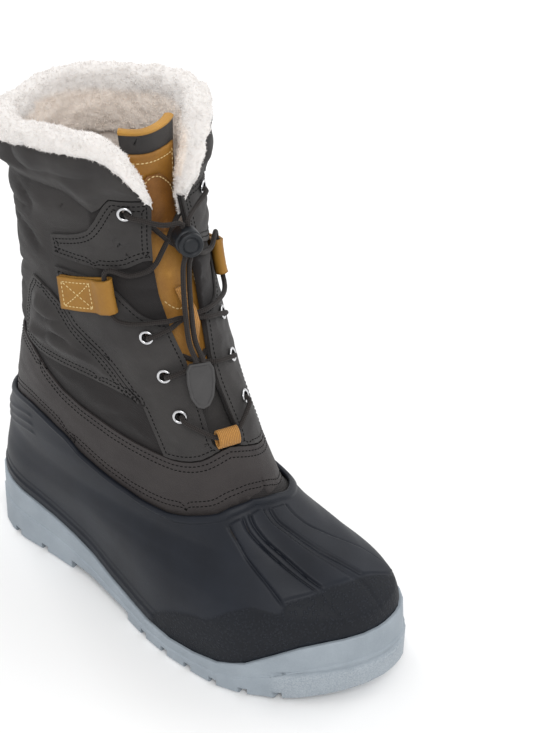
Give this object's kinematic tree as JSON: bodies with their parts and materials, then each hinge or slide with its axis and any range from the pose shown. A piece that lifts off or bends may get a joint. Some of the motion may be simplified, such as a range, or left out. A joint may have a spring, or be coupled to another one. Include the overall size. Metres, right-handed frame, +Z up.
{
  "type": "snow boot",
  "caption": "High snow boot for the right foot: rubber lower and sole, padded cloth shaft with leather and webbing trim, cord lacing with a lock, and a fleece collar.",
  "frame": {"origin": "bottom centre of the boot's bounding box, on the floor under the sole", "axes": "+Z up, the toe points along -Y, and the outer side of the foot lies along -X"},
  "size_m": [0.1247, 0.305, 0.3325],
  "materials": {
    "cloth": "woven charcoal cloth, padded and stitched",
    "tongue": "padded charcoal cloth with a bound edge",
    "rand": "matte charcoal leather-like sheet with two rows of stitches along each edge",
    "tab": "moulded grey end tab with a raised border",
    "shell": "matte blue-black moulded rubber",
    "sole": "light grey rubber",
    "fleece": "long white fleece",
    "leather": "ochre leather with cream stitching",
    "webbing": "amber ribbed webbing",
    "eyelets": "bright steel rings",
    "lock": "dark moulded plastic",
    "cord": "round braided elastic cord",
    "insole": "felt-faced foam"
  },
  "bodies": {
    "root": {"upper": "cloth", "cuff": "cloth", "quarter_outer": "cloth", "quarter_inner": "cloth", "eyestay_outer": "cloth", "eyestay_inner": "cloth", "flap_outer": "cloth", "flap_inner": "cloth", "tongue": "tongue", "rand": "rand", "lace_tab": "tab", "rubber_shell": "shell", "outsole": "sole", "fleece_collar": "fleece", "tongue_panel": "leather", "tongue_patch": "leather", "side_loop_outer": "webbing", "side_loop_inner": "webbing", "tongue_keeper": "webbing", "toe_loop": "webbing", "eyelet_outer_1": "eyelets", "eyelet_outer_2": "eyelets", "eyelet_outer_3": "eyelets", "eyelet_outer_4": "eyelets", "eyelet_inner_1": "eyelets", "eyelet_inner_2": "eyelets", "eyelet_inner_3": "eyelets", "eyelet_inner_4": "eyelets", "cord_lock": "lock", "lock_button": "lock", "lace_toe": "cord", "lace_cross": "cord", "lace_waist": "cord", "lace_top_outer": "cord", "lace_top_inner": "cord", "cord_end_outer": "cord", "cord_end_inner": "cord", "insole": "insole"}
  },
  "joints": []
}
